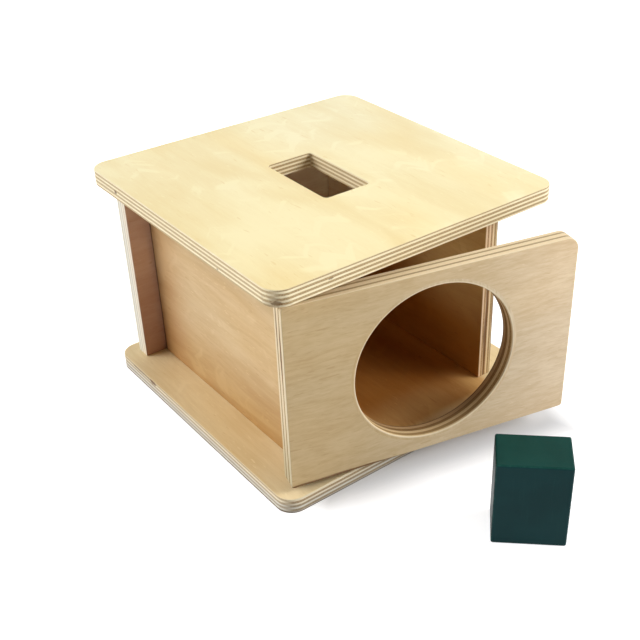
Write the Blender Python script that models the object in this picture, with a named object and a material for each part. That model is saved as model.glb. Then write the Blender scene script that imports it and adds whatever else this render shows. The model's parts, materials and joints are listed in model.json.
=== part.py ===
"""Wooden drop box: two panels, three walls, a hinged front door and a block to post through the top."""

import math

import bmesh
import bpy
from mathutils import Vector

# Sizes are in metres and angles in degrees
# X runs along the front, Y towards the back and Z up; the origin is on the floor under the middle of the base

# Top and base panels
BOX_WIDTH = 0.148
BOX_DEPTH = 0.148
BOX_HEIGHT = 0.107
PANEL_THICKNESS = 0.0075
PANEL_CORNER_RADIUS = 0.008

# Walls: the recess, setback and insets are measured in from the edges of the panels
WALL_THICKNESS = 0.0075
SIDE_RECESS = 0.0187
FRONT_SETBACK = 0.0156
BACK_INSET = 0.0072
BACK_END_INSET = 0.008

# Door: its free end passes the right wall, which stops it, and only its upper free corner is well rounded
DOOR_PAST_WALL = 0.0089
DOOR_THICKNESS = 0.0082
DOOR_END_GAP = 0.0026
DOOR_HOLE_RIM = 0.00675
DOOR_FREE_CORNER_RADIUS = 0.006
DOOR_CORNER_RADIUS = 0.0015
DOOR_OPEN_ANGLE = 13.5

# Door pivot: the short end swings past the left wall, and the open door folds flat along that wall
PIVOT_TO_DOOR_END = 0.008
SWING_CLEARANCE = 0.0004
FOLD_CLEARANCE = 0.0004
PIN_DIAMETER = 0.003
PIN_IN_DOOR = 0.012
PIN_RUNNING_CLEARANCE = 0.0001
PIN_CHAMFER = 0.0003

# Dowels between the walls and the panels
DOWEL_DIAMETER = 0.004
DOWEL_IN_WALL = 0.010
DOWEL_FROM_WALL_END = 0.022
DOWEL_GLUE_CLEARANCE = 0.0001
DOWEL_CHAMFER = 0.0006

# Block, and its place on the floor in front of the box
BLOCK_WIDTH = 0.030
BLOCK_DEPTH = 0.020
BLOCK_HEIGHT = 0.040
BLOCK_EDGE_RADIUS = 0.0008
BLOCK_SIDE_OFFSET = -0.0018
BLOCK_FRONT_DISTANCE = 0.0656
BLOCK_TURN = -43.6

# Slot in the top panel, which takes the block on its side
SLOT_PLAY = 0.004
SLOT_CORNER_RADIUS = 0.002

# Shared by all pieces
ARRIS_RADIUS = 0.0006
LEAST_CORNER_RADIUS = 0.00015
JOINT_GAP = 0.0003
BLIND_HOLE_SKIN = 0.0025
CUT_OVERRUN = 0.002

# Steps in a quarter turn of a corner and of an arris, and sides of the round pieces
CORNER_STEPS = 8
ARRIS_STEPS = 3
HOLE_SIDES = 96
PIN_SIDES = 32
DOWEL_SIDES = 24
SMOOTH_ANGLE = 35.0

# Finishes: linear colour, roughness and metallic value
BIRCH = ((0.80, 0.62, 0.39), 0.5, 0.0)
BEECH = ((0.62, 0.42, 0.24), 0.7, 0.0)
STEEL = ((0.55, 0.55, 0.56), 0.3, 1.0)
GREEN_PAINT = ((0.012, 0.055, 0.042), 0.45, 0.0)

# Places worked out from the sizes
HALF_WIDTH = BOX_WIDTH / 2
HALF_DEPTH = BOX_DEPTH / 2
INNER_TOP = BOX_HEIGHT - PANEL_THICKNESS
MID_HEIGHT = (PANEL_THICKNESS + INNER_TOP) / 2
WALL_HEIGHT = INNER_TOP - PANEL_THICKNESS - 2 * JOINT_GAP
WALL_BOTTOM = PANEL_THICKNESS + JOINT_GAP
WALL_TOP = INNER_TOP - JOINT_GAP
SIDE_WALL_X = HALF_WIDTH - SIDE_RECESS - WALL_THICKNESS / 2
SIDE_WALL_FRONT = -HALF_DEPTH + FRONT_SETBACK
BACK_WALL_Y = HALF_DEPTH - BACK_INSET - WALL_THICKNESS / 2
BACK_WALL_LENGTH = BOX_WIDTH - 2 * BACK_END_INSET
SIDE_WALL_BACK = BACK_WALL_Y - WALL_THICKNESS / 2 - JOINT_GAP
BLIND_DEPTH = PANEL_THICKNESS - BLIND_HOLE_SKIN
DOOR_HEIGHT = INNER_TOP - PANEL_THICKNESS - 2 * DOOR_END_GAP
DOOR_HOLE_RADIUS = DOOR_HEIGHT / 2 - DOOR_HOLE_RIM
PIVOT_X = -(HALF_WIDTH - SIDE_RECESS) - FOLD_CLEARANCE - DOOR_THICKNESS / 2
PIVOT_Y = SIDE_WALL_FRONT - math.hypot(PIVOT_TO_DOOR_END, DOOR_THICKNESS / 2) - SWING_CLEARANCE
DOOR_LENGTH = PIVOT_TO_DOOR_END - PIVOT_X + HALF_WIDTH - SIDE_RECESS + DOOR_PAST_WALL

# Turns that stand a flat board up: across the box, or along its sides
STAND_ACROSS = (math.radians(90), 0.0, 0.0)
STAND_ALONG = (math.radians(90), 0.0, math.radians(90))
FLAT = (0.0, 0.0, 0.0)


def clear_scene():
    for obj in list(bpy.data.objects):
        bpy.data.objects.remove(obj, do_unlink=True)


def rounded_rectangle(width, height, radii, grow=0.0):
    """Outline round the origin, from the lower left corner; grow moves every side out by that much."""
    half_x = width / 2 + grow
    half_y = height / 2 + grow
    signs = ((-1, -1), (1, -1), (1, 1), (-1, 1))
    points = []
    for corner, (sign_x, sign_y) in enumerate(signs):
        radius = max(radii[corner] + grow, LEAST_CORNER_RADIUS)
        centre = Vector((sign_x * (half_x - radius), sign_y * (half_y - radius)))
        first = math.radians(180 + 90 * corner)
        for step in range(CORNER_STEPS + 1):
            angle = first + math.radians(90) * step / CORNER_STEPS
            points.append(centre + radius * Vector((math.cos(angle), math.sin(angle))))
    return points


def circle(radius, sides, grow=0.0):
    turns = [2 * math.pi * side / sides for side in range(sides)]
    return [(radius + grow) * Vector((math.cos(turn), math.sin(turn))) for turn in turns]


def add_loft(bm, rings):
    """Skin through rings of equal length, listed from low to high, closed by a face at each end."""
    layers = [[bm.verts.new(point) for point in ring] for ring in rings]
    count = len(rings[0])
    for low, high in zip(layers, layers[1:]):
        for side in range(count):
            after = (side + 1) % count
            bm.faces.new((low[side], low[after], high[after], high[side]))
    bm.faces.new(reversed(layers[0]))
    bm.faces.new(layers[-1])


def raise_ring(outline, height, centre=(0.0, 0.0)):
    return [Vector((point.x + centre[0], point.y + centre[1], height)) for point in outline]


def arris_profile():
    """Inset from the side and depth below the face, from the face round to the side."""
    angles = [math.radians(90) * step / ARRIS_STEPS for step in range(ARRIS_STEPS + 1)]
    return [(ARRIS_RADIUS * (1 - math.sin(a)), ARRIS_RADIUS * (1 - math.cos(a))) for a in angles]


def add_board(bm, outline, thickness, centre=(0.0, 0.0)):
    """Flat board with softened arrises; outline is a function of how far it grows."""
    profile = arris_profile()
    low = [raise_ring(outline(-inset), depth - thickness / 2, centre) for inset, depth in profile]
    high = [raise_ring(outline(-inset), thickness / 2 - depth, centre) for inset, depth in reversed(profile)]
    add_loft(bm, low + high)


def add_window(bm, outline, thickness, centre=(0.0, 0.0)):
    """Cutter for a hole through a board, flared at both faces to soften the arrises of the hole."""
    profile = arris_profile()
    beyond = thickness / 2 + CUT_OVERRUN
    low = [raise_ring(outline(inset), depth - thickness / 2, centre) for inset, depth in profile]
    high = [raise_ring(outline(inset), thickness / 2 - depth, centre) for inset, depth in reversed(profile)]
    first = raise_ring(outline(ARRIS_RADIUS), -beyond, centre)
    last = raise_ring(outline(ARRIS_RADIUS), beyond, centre)
    add_loft(bm, [first] + low + high + [last])


def add_rod(bm, start, end, radius, sides, chamfer=0.0):
    """Round bar between two points, with chamfered ends where a chamfer is given."""
    along = (end - start).normalized()
    turn = along.to_track_quat('Z', 'Y')
    stations = [(start, radius - chamfer), (end, radius - chamfer)]
    if chamfer:
        shift = along * chamfer
        stations[1:1] = [(start + shift, radius), (end - shift, radius)]
    rings = [[place + turn @ point.to_3d() for point in circle(size, sides)] for place, size in stations]
    add_loft(bm, rings)


def add_drill(bm, mouth, inward, depth, radius, sides):
    """Cutter for a blind hole of that depth, started clear of the surface."""
    add_rod(bm, mouth - inward * CUT_OVERRUN, mouth + inward * depth, radius, sides)


def make_object(name, bm, location=(0.0, 0.0, 0.0), rotation=FLAT):
    bmesh.ops.recalc_face_normals(bm, faces=bm.faces)
    mesh = bpy.data.meshes.new(name)
    bm.to_mesh(mesh)
    bm.free()
    mesh.shade_smooth()
    mesh.set_sharp_from_angle(angle=math.radians(SMOOTH_ANGLE))
    obj = bpy.data.objects.new(name, mesh)
    obj.location = location
    obj.rotation_euler = rotation
    bpy.context.collection.objects.link(obj)
    return obj


def finish(obj, look):
    colour, roughness, metallic = look
    material = bpy.data.materials.new(obj.name)
    material.use_nodes = True
    shader = material.node_tree.nodes["Principled BSDF"]
    shader.inputs["Base Color"].default_value = (*colour, 1.0)
    shader.inputs["Roughness"].default_value = roughness
    shader.inputs["Metallic"].default_value = metallic
    obj.data.materials.append(material)


def cut(target, bm, label):
    """Takes the shapes in bm, given in the target's own frame, out of the target."""
    cutter = make_object(f"{target.name}_{label}", bm, target.location, target.rotation_euler)
    cutter.hide_render = True
    cutter.display_type = 'WIRE'
    modifier = target.modifiers.new(label, 'BOOLEAN')
    modifier.operation = 'DIFFERENCE'
    modifier.solver = 'EXACT'
    modifier.object = cutter


def dowel_places():
    """Name and plan position of each pair of dowels, one above and one below the wall."""
    places = {}
    ends = (("front", SIDE_WALL_FRONT + DOWEL_FROM_WALL_END), ("rear", SIDE_WALL_BACK - DOWEL_FROM_WALL_END))
    for side, sign in (("left", -1), ("right", 1)):
        for end, along in ends:
            places[f"{side}_wall", end] = Vector((sign * SIDE_WALL_X, along, 0.0))
    for end, sign in (("left", -1), ("right", 1)):
        across = sign * (BACK_WALL_LENGTH / 2 - DOWEL_FROM_WALL_END)
        places["back_wall", end] = Vector((across, BACK_WALL_Y, 0.0))
    return places


def make_panel(name, centre_height, inward):
    """One square panel with blind holes in its inner face; inward is the way from that face into the wood."""
    def outline(grow):
        return rounded_rectangle(BOX_WIDTH, BOX_DEPTH, [PANEL_CORNER_RADIUS] * 4, grow)

    bm = bmesh.new()
    add_board(bm, outline, PANEL_THICKNESS)
    panel = make_object(name, bm, (0.0, 0.0, centre_height))
    finish(panel, BIRCH)
    face = Vector((0.0, 0.0, -inward.z * PANEL_THICKNESS / 2))
    holes = bmesh.new()
    for place in dowel_places().values():
        radius = DOWEL_DIAMETER / 2 + DOWEL_GLUE_CLEARANCE
        add_drill(holes, face + place, inward, BLIND_DEPTH + JOINT_GAP, radius, DOWEL_SIDES)
    pivot = Vector((PIVOT_X, PIVOT_Y, 0.0))
    pin_radius = PIN_DIAMETER / 2 + PIN_RUNNING_CLEARANCE
    add_drill(holes, face + pivot, inward, BLIND_DEPTH + JOINT_GAP, pin_radius, PIN_SIDES)
    cut(panel, holes, "blind_holes")
    return panel


def make_top_panel():
    panel = make_panel("top_panel", BOX_HEIGHT - PANEL_THICKNESS / 2, Vector((0.0, 0.0, 1.0)))

    def outline(grow):
        width = BLOCK_DEPTH + SLOT_PLAY
        length = BLOCK_HEIGHT + SLOT_PLAY
        return rounded_rectangle(width, length, [SLOT_CORNER_RADIUS] * 4, grow)

    slot = bmesh.new()
    add_window(slot, outline, PANEL_THICKNESS)
    cut(panel, slot, "slot")


def make_wall(name, length, centre, rotation):
    """Upright wall with a pair of dowel holes in its lower and upper edges."""
    def outline(grow):
        return rounded_rectangle(length, WALL_HEIGHT, [ARRIS_RADIUS] * 4, grow)

    bm = bmesh.new()
    add_board(bm, outline, WALL_THICKNESS)
    wall = make_object(name, bm, centre, rotation)
    finish(wall, BIRCH)
    holes = bmesh.new()
    depth = DOWEL_IN_WALL + JOINT_GAP
    radius = DOWEL_DIAMETER / 2 + DOWEL_GLUE_CLEARANCE
    for side in (-1, 1):
        along = side * (length / 2 - DOWEL_FROM_WALL_END)
        for up in (-1, 1):
            mouth = Vector((along, up * WALL_HEIGHT / 2, 0.0))
            add_drill(holes, mouth, Vector((0.0, -up, 0.0)), depth, radius, DOWEL_SIDES)
    cut(wall, holes, "dowel_holes")


def make_walls():
    length = SIDE_WALL_BACK - SIDE_WALL_FRONT
    middle = (SIDE_WALL_BACK + SIDE_WALL_FRONT) / 2
    make_wall("left_wall", length, (-SIDE_WALL_X, middle, MID_HEIGHT), STAND_ALONG)
    make_wall("right_wall", length, (SIDE_WALL_X, middle, MID_HEIGHT), STAND_ALONG)
    make_wall("back_wall", BACK_WALL_LENGTH, (0.0, BACK_WALL_Y, MID_HEIGHT), STAND_ACROSS)


def make_dowels():
    joints = (("top", WALL_TOP - DOWEL_IN_WALL, INNER_TOP + BLIND_DEPTH),
              ("base", PANEL_THICKNESS - BLIND_DEPTH, WALL_BOTTOM + DOWEL_IN_WALL))
    for (wall, end), place in dowel_places().items():
        for joint, low, high in joints:
            middle = (low + high) / 2
            reach = Vector((0.0, 0.0, (high - low) / 2))
            bm = bmesh.new()
            add_rod(bm, -reach, reach, DOWEL_DIAMETER / 2, DOWEL_SIDES, DOWEL_CHAMFER)
            dowel = make_object(f"{wall}_{joint}_dowel_{end}", bm, (place.x, place.y, middle))
            finish(dowel, BEECH)


def make_door():
    """Door in its own frame, with the origin on the pivot at mid height and the front face towards its +Z."""
    radii = [DOOR_CORNER_RADIUS, DOOR_CORNER_RADIUS, DOOR_FREE_CORNER_RADIUS, DOOR_CORNER_RADIUS]
    centre = (DOOR_LENGTH / 2 - PIVOT_TO_DOOR_END, 0.0)
    turn = (STAND_ACROSS[0], 0.0, -math.radians(DOOR_OPEN_ANGLE))

    def outline(grow):
        return rounded_rectangle(DOOR_LENGTH, DOOR_HEIGHT, radii, grow)

    def hole(grow):
        return circle(DOOR_HOLE_RADIUS, HOLE_SIDES, grow)

    bm = bmesh.new()
    add_board(bm, outline, DOOR_THICKNESS, centre)
    door = make_object("door", bm, (PIVOT_X, PIVOT_Y, MID_HEIGHT), turn)
    finish(door, BIRCH)
    window = bmesh.new()
    add_window(window, hole, DOOR_THICKNESS, centre)
    cut(door, window, "round_hole")
    holes = bmesh.new()
    radius = PIN_DIAMETER / 2 + PIN_RUNNING_CLEARANCE
    for up in (-1, 1):
        mouth = Vector((0.0, up * DOOR_HEIGHT / 2, 0.0))
        add_drill(holes, mouth, Vector((0.0, -up, 0.0)), PIN_IN_DOOR + JOINT_GAP, radius, PIN_SIDES)
    cut(door, holes, "pin_holes")


def make_pins():
    reach = Vector((0.0, 0.0, (BLIND_DEPTH + DOOR_END_GAP + PIN_IN_DOOR) / 2))
    upper = INNER_TOP + BLIND_DEPTH - reach.z
    lower = PANEL_THICKNESS - BLIND_DEPTH + reach.z
    for name, height in (("upper_door_pin", upper), ("lower_door_pin", lower)):
        bm = bmesh.new()
        add_rod(bm, -reach, reach, PIN_DIAMETER / 2, PIN_SIDES, PIN_CHAMFER)
        pin = make_object(name, bm, (PIVOT_X, PIVOT_Y, height))
        finish(pin, STEEL)


def make_block():
    bm = bmesh.new()
    bmesh.ops.create_cube(bm, size=1.0)
    bmesh.ops.scale(bm, vec=(BLOCK_WIDTH, BLOCK_DEPTH, BLOCK_HEIGHT), verts=bm.verts)
    place = (BLOCK_SIDE_OFFSET, -HALF_DEPTH - BLOCK_FRONT_DISTANCE, BLOCK_HEIGHT / 2)
    block = make_object("block", bm, place, (0.0, 0.0, math.radians(BLOCK_TURN)))
    rounding = block.modifiers.new("rounded_edges", 'BEVEL')
    rounding.width = BLOCK_EDGE_RADIUS
    rounding.segments = ARRIS_STEPS
    rounding.limit_method = 'NONE'
    finish(block, GREEN_PAINT)


def main():
    clear_scene()
    make_panel("base_panel", PANEL_THICKNESS / 2, Vector((0.0, 0.0, -1.0)))
    make_top_panel()
    make_walls()
    make_dowels()
    make_door()
    make_pins()
    make_block()


main()
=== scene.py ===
"""Looks of a plywood drop box with a hinged door and a painted block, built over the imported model."""

import json
import math
from typing import NamedTuple

import bmesh
import bpy
from mathutils import Matrix, Vector


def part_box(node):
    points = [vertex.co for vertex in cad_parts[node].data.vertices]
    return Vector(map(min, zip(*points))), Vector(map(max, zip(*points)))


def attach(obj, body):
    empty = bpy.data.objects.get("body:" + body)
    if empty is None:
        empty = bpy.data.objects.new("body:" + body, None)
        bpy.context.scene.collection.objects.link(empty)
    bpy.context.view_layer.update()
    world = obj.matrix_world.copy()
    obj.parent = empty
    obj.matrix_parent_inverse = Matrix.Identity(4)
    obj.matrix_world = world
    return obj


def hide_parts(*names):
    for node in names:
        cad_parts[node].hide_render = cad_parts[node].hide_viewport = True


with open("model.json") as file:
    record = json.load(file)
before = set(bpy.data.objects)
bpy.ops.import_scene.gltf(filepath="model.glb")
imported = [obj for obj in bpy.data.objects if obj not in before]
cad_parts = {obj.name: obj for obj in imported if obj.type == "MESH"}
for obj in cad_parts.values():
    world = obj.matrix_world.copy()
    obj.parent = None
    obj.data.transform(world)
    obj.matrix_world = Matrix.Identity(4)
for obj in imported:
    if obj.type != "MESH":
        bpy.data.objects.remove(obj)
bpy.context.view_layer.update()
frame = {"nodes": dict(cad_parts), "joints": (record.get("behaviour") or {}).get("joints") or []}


class LayUp(NamedTuple):
    """Plies of a board: lower face ply, number of core plies, upper face ply."""
    lower: float
    core: int
    upper: float


class Mark(NamedTuple):
    """Knot, gap, stain or patch of painted shade: place on the board, half sizes and depth of colour."""
    centre: tuple
    half: tuple
    strength: float


class Drift(NamedTuple):
    """Slow change of tone, often painted light or shade: axis on the board, where it starts and ends, and
    the tint at its end.
    """
    axis: int
    start: float
    end: float
    tint: tuple


class Grain(NamedTuple):
    """Noise in a material: steps per metre along each axis, and its make."""
    steps: tuple
    detail: float = 2.0
    roughness: float = 0.5
    distortion: float = 0.0


class Room(NamedTuple):
    """Rectangle of a board's upper face that lies inside the box, with darker tones and drifts of its own
    that paint the shade and light of the inside.
    """
    centre: tuple
    half: tuple
    tones: tuple
    drifts: tuple


class Rim(NamedTuple):
    """Round hole in a board: place along X, radius, and tints of the rim towards its two faces, which paint
    light on the rim by one face and shade by the other.
    """
    place: float
    radius: float
    upper_tint: tuple
    lower_tint: tuple


class Look(NamedTuple):
    """Looks of one plywood board; a veneer has a light and a dark tone."""
    lay_up: LayUp
    seed: float  # where the board lies in the pattern of the wood
    upper: tuple
    lower: tuple
    flame: float = 1.0  # strength of the flames, lines, streaks, clouds and glints in the veneer
    lines: float = 0.7
    streaks: float = 0.6
    clouds: float = 1.0
    glints: float = 0.4
    short: float = 1.5  # how short the lines are
    arris_highlight: float = 0.3  # how strongly a highlight is painted along the upper arrises
    marks: tuple = ()
    upper_drifts: tuple = ()
    lower_drifts: tuple = ()
    edge_tints: tuple = ()  # along the lower arris, the lower half and the upper half of the cut edges
    edge_drifts: tuple = ()
    pale: float = 0.0  # how far the cut edges are washed out by painted light
    dark_core: bool = False


WHITE = (1.0, 1.0, 1.0)

# Sizes in metres and turns in degrees, as on the solids that the pieces stand for
PANEL_CORNER_RADIUS = 0.008
SLOT_WIDTH = 0.024
SLOT_LENGTH = 0.044
SLOT_CORNER_RADIUS = 0.002
WALL_CORNER_RADIUS = 0.0006
WALL_JOINT_GAP = 0.00028
DOOR_LENGTH = 0.132
DOOR_THICKNESS = 0.0082
DOOR_HOLE_RADIUS = 0.03665
DOOR_FREE_CORNER_RADIUS = 0.006
DOOR_CORNER_RADIUS = 0.0015
DOOR_OPEN_ANGLE = 13.5
PIVOT_TO_DOOR_END = 0.008
BLOCK_WIDTH = 0.030
BLOCK_DEPTH = 0.020
BLOCK_EDGE_RADIUS = 0.0009
BLOCK_TURN = -43.6
# Reach of the painted shade on the base inside the box: how far it comes forward of the middle, and how far
# under the walls
ROOM_FRONT = 0.0685
ROOM_UNDER_WALL = 0.002

# Make of the plywood; the face plies are sanded thin
TOP_LAY_UP = LayUp(0.00010, 7, 0.00072)
BASE_LAY_UP = LayUp(0.00014, 7, 0.00014)
WALL_LAY_UP = LayUp(0.00014, 7, 0.00014)
DOOR_LAY_UP = LayUp(0.00010, 5, 0.00010)
GLUE_LINE = 0.00008
GLUE_GROOVE = 0.00003
ARRIS_RADIUS = 0.00045
LEAST_CORNER_RADIUS = ARRIS_RADIUS / 4

# Light and dark tones of the face veneers; the rosy, nutty and amber tones are darker, redder copies for
# inner faces and recesses, with the shade there painted in
CREAM = ((0.90, 0.795, 0.48), (0.82, 0.665, 0.345))
STRAW = ((0.835, 0.68, 0.41), (0.72, 0.55, 0.292))
HONEY = ((0.68, 0.505, 0.268), (0.555, 0.37, 0.172))
TAN = ((0.66, 0.53, 0.345), (0.54, 0.40, 0.225))
SHADED_ROSY = ((0.64, 0.41, 0.285), (0.545, 0.315, 0.21))
SHADED_NUTTY = ((0.64, 0.385, 0.155), (0.52, 0.28, 0.10))
SHADED_AMBER = ((0.42, 0.18, 0.034), (0.34, 0.13, 0.022))

# Knots and gaps that show in the cut edges; the dark strip along the foot of the door is painted shade of
# the gap under it, and the second mark on the right wall is painted shade along the outer arris of its
# front end
TOP_MARKS = (Mark((-0.0705, 0.0700, -0.0018), (0.0060, 0.0060, 0.0034), 0.25),
             Mark((-0.0720, 0.0710, -0.0019), (0.0030, 0.0022, 0.0012), 0.65),
             Mark((0.0479, 0.0740, 0.0000), (0.0013, 0.0012, 0.0009), 0.85),
             Mark((-0.0740, 0.0480, 0.0010), (0.0010, 0.0014, 0.0005), 0.60),
             Mark((-0.0360, 0.0740, -0.0022), (0.0008, 0.0010, 0.0004), 0.60))
BASE_MARKS = (Mark((0.0390, 0.0740, 0.0026), (0.0034, 0.0018, 0.0011), 0.95),
              Mark((0.0500, 0.0740, 0.0026), (0.0120, 0.0018, 0.0007), 0.65))
RIGHT_WALL_MARKS_AND_SHADE = (Mark((-0.0587, -0.0180, -0.0007), (0.0020, 0.0420, 0.0010), 0.95),
                    # Painted shade along the outer arris of the front end
                    Mark((-0.0587, 0.0000, 0.0037), (0.0030, 0.0900, 0.0010), 0.85))
DOOR_MARKS_AND_SHADE = (Mark((-0.0080, 0.0210, 0.0014), (0.0015, 0.0140, 0.0009), 0.95),
              Mark((-0.0080, 0.0330, -0.0016), (0.0015, 0.0100, 0.0006), 0.75),
              # Painted shade of the gap under the door, along its foot
              Mark((0.0060, -0.0434, 0.0041), (0.0400, 0.0014, 0.0060), 0.90))

# Slow changes of tone over the faces, most of them painted light and shade; the sloping axis is a board's Y
# that rises a little along its X
AXIS_X, AXIS_Y, AXIS_SLOPE = range(3)
DRIFT_SLOPE = 0.064
TOP_DRIFTS = (Drift(AXIS_Y, 0.020, -0.070, (0.985, 1.025, 1.12)),
              Drift(AXIS_X, 0.045, -0.030, (1.0, 0.985, 0.935)))
# Painted shade on the left wall's outer face: darker towards the base, darker under the top panel, a
# sharper sloping step of painted shadow near the base, darker towards the back where the back wall's end
# shades it, a little darker towards the front, and a dark line of painted shade in the joint at the back
LEFT_WALL_SHADE_DRIFTS = (Drift(AXIS_Y, 0.004, -0.042, (0.81, 0.70, 0.57)),
                    Drift(AXIS_Y, 0.016, 0.038, (0.76, 0.78, 0.79)),
                    Drift(AXIS_SLOPE, -0.0408, -0.0426, (0.88, 0.82, 0.73)),
                    Drift(AXIS_X, 0.020, 0.052, (0.79, 0.66, 0.57)),
                    Drift(AXIS_X, 0.000, -0.055, (0.94, 0.93, 0.92)),
                    Drift(AXIS_X, 0.0566, 0.0582, (0.30, 0.22, 0.17)))
# Painted light on the right wall's inner face: lighter towards the top and towards the back
RIGHT_WALL_LIGHT_DRIFTS = (Drift(AXIS_Y, -0.027, 0.015, (1.87, 3.10, 7.00)),
                     Drift(AXIS_X, 0.020, 0.052, (1.25, 1.75, 3.60)))
# Painted light and shade on the back wall's inner face: lighter on its right half, so that only the strip
# by the left wall keeps the painted shade, darker towards the bottom, and a band of painted shade under the
# top panel
BACK_WALL_LIGHT_AND_SHADE = (Drift(AXIS_X, 0.000, 0.010, (1.27, 1.60, 1.37)),
                    Drift(AXIS_Y, 0.010, -0.044, (0.72, 0.63, 0.60)),
                    Drift(AXIS_Y, 0.0420, 0.0445, (0.55, 0.48, 0.45)))
# Painted light on the back wall inside the box: lighter towards the top
BACK_ROOM_LIGHT_DRIFTS = (Drift(AXIS_Y, -0.020, 0.012, (2.30, 5.00, 20.0)),)
# Painted shade on the base inside the box: darker further back and towards the right wall, with a strip of
# painted light at the foot of that wall
BASE_ROOM_LIGHT_AND_SHADE = (Drift(AXIS_X, -0.059, -0.039, (0.74, 0.54, 0.30)),
                    Drift(AXIS_Y, -0.002, -0.032, (0.68, 0.58, 0.47)),
                    Drift(AXIS_Y, -0.034, -0.046, (1.6, 1.9, 2.2)))
DOOR_DRIFTS = (Drift(AXIS_X, 0.100, 0.000, (0.88, 0.82, 0.67)),
               Drift(AXIS_X, 0.070, 0.124, (1.20, 1.20, 1.26)))

# Tints of the cut edges; the base's dark tint along its lower arris is painted contact shade
BASE_EDGE_TINTS = ((0.24, 0.24, 0.28), (0.77, 0.83, 1.04), (0.88, 0.88, 0.94))
RIGHT_EDGE_TINTS = ((0.80, 0.67, 0.61), (0.80, 0.67, 0.61), (0.74, 0.66, 0.56))
BACK_EDGE_TINTS = ((0.93, 0.95, 0.95), (0.93, 0.95, 0.95), (1.0, 0.97, 0.92))
DOOR_EDGE_TINTS = ((0.77, 0.74, 0.72),) * 3
DOOR_EDGE_DRIFTS = (Drift(AXIS_Y, 0.036, 0.043, (1.16, 1.16, 1.12)),
                    Drift(AXIS_Y, 0.000, -0.040, (0.74, 0.76, 0.72)))
# Rim of the door's hole: painted light towards the front face, painted shade towards the back
DOOR_RIM_LIGHT_AND_SHADE = ((1.32, 1.20, 1.04), (0.72, 0.55, 0.42))

# Looks of the boards
LOOKS = {
    "top_panel": Look(TOP_LAY_UP, seed=0.31, upper=CREAM, lower=STRAW, flame=2.4, lines=0.35, streaks=0.25,
                      clouds=1.3, marks=TOP_MARKS, upper_drifts=TOP_DRIFTS),
    "base_panel": Look(BASE_LAY_UP, seed=1.87, upper=STRAW, lower=STRAW, glints=1.0, marks=BASE_MARKS,
                       edge_tints=BASE_EDGE_TINTS),
    "left_wall": Look(WALL_LAY_UP, seed=3.1, upper=SHADED_NUTTY, lower=HONEY, flame=2.0, glints=1.2, arris_highlight=0.0,
                      lower_drifts=LEFT_WALL_SHADE_DRIFTS),
    "right_wall": Look(WALL_LAY_UP, seed=4.7, upper=STRAW, lower=SHADED_AMBER, arris_highlight=0.0, marks=RIGHT_WALL_MARKS_AND_SHADE,
                       lower_drifts=RIGHT_WALL_LIGHT_DRIFTS, edge_tints=RIGHT_EDGE_TINTS),
    "back_wall": Look(WALL_LAY_UP, seed=5.9, upper=SHADED_ROSY, lower=STRAW, arris_highlight=0.0,
                      upper_drifts=BACK_WALL_LIGHT_AND_SHADE, edge_tints=BACK_EDGE_TINTS, pale=0.60),
    "door": Look(DOOR_LAY_UP, seed=7.3, upper=TAN, lower=TAN, flame=0.2, lines=1.0, streaks=0.3, clouds=0.6,
                 short=3.0, marks=DOOR_MARKS_AND_SHADE, upper_drifts=DOOR_DRIFTS, edge_tints=DOOR_EDGE_TINTS,
                 edge_drifts=DOOR_EDGE_DRIFTS, dark_core=True),
}

# Figure of the veneer: noises along the fibre, across it and through the board
WANDER = Grain((16.0, 45.0, 45.0))
FINE_LINES = Grain((85.0, 1900.0, 1900.0), detail=3.0, roughness=0.65)
LINES = Grain((34.0, 620.0, 620.0), roughness=0.6)
STREAKS = Grain((12.0, 190.0, 190.0))
CLOUDS = Grain((17.0, 42.0, 42.0), distortion=0.6)
RINGS = Grain((8.0, 30.0, 30.0), detail=1.0)
FLAMES = Grain((120.0, 30.0, 30.0), detail=1.0)
DASHES = Grain((240.0, 2900.0, 2900.0), detail=1.0)
GLINTS = Grain((230.0, 1100.0, 1100.0), detail=1.0)
FLECKS = Grain((130.0, 820.0, 820.0), detail=1.0)
PEACH = Grain((11.0, 24.0, 24.0))
PLY_JUMP = 0.0173
WANDER_WIDTH = 0.009
RING_WAVES = 70.0
RIPPLE_STEPS = 105.0
RIPPLE_WANDER = 3.0
RIPPLE_DEPTH = 0.0075

# Where those noises fade in
RING_FADE = (0.55, 1.0)
FLAME_FADE = (0.56, 0.70)
FLAME_CLOUD_FADE = (0.45, 0.62)
DASH_FADE = (0.60, 0.76)
GLINT_FADE = (0.68, 0.76)
FLECK_FADE = (0.70, 0.78)
PEACH_FADE = (0.42, 0.66)

# How much each adds to the tone, and the tone that is half way from dark to light
FINE_LINE_WEIGHT = 0.22
LINE_WEIGHT = 0.34
STREAK_WEIGHT = 0.28
CLOUD_WEIGHT = 0.44
RING_WEIGHT = -0.04
FLAME_WEIGHT = 0.20
DASH_WEIGHT = -0.12
FLECK_WEIGHT = -0.25
GLINT_WEIGHT = 0.25
LINES_MIDDLE = 0.26
STREAKS_MIDDLE = 0.14
CLOUDS_MIDDLE = 0.22
TONE_SPREAD = 0.18
PEACH_DEPTH = 0.8
PEACH_TINT = (1.0, 0.955, 0.87)

# Soft edge of the rooms of painted shade, softest by their low end
ROOM_SOFT_STRETCH = 0.020
ROOM_SOFTNESS = (0.0012, 0.0050)

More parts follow.
